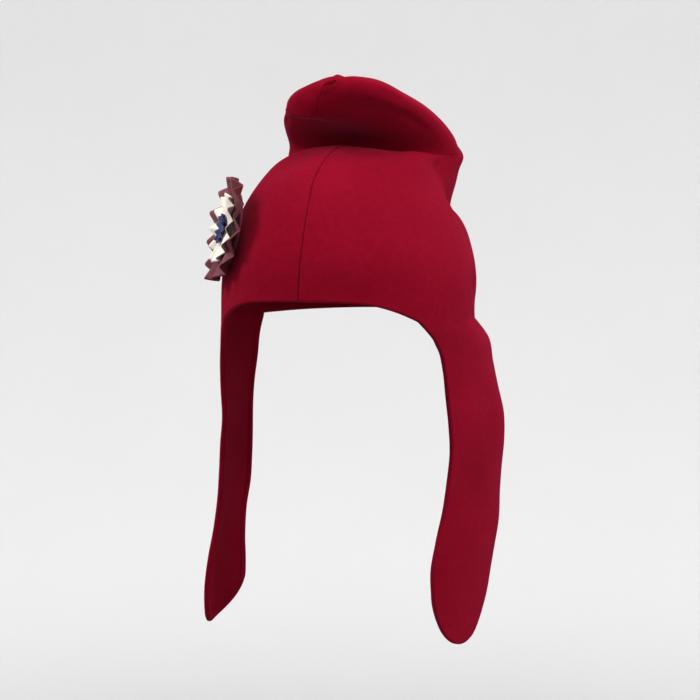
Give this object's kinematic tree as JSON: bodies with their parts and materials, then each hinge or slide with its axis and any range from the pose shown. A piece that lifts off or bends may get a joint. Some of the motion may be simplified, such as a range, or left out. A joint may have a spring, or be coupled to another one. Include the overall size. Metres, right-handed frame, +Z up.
{
  "type": "phrygian cap",
  "caption": "Red cloth phrygian cap with its soft crown folded to the front, long side flaps and a pleated rosette at the right temple.",
  "frame": {"origin": "middle of the head opening, about level with the rim over the forehead", "axes": "+X to the wearer's left, +Y to the wearer's back, +Z up"},
  "size_m": [0.1869, 0.2082, 0.3612],
  "materials": {
    "red_cloth": "matte crimson felted cloth",
    "maroon_ribbon": "dull maroon pleated ribbon",
    "cream_ribbon": "cream pleated ribbon with a soft sheen",
    "blue_ribbon": "deep blue pleated ribbon",
    "maroon_felt": "matte maroon felt",
    "pin_metal": "plain steel"
  },
  "bodies": {
    "root": {"left_panel": "red_cloth", "right_panel": "red_cloth", "rosette_pin": "pin_metal", "rosette_backing": "maroon_felt", "rosette_outer_ring": "maroon_ribbon", "rosette_middle_ring": "cream_ribbon", "rosette_centre": "blue_ribbon"}
  },
  "joints": []
}
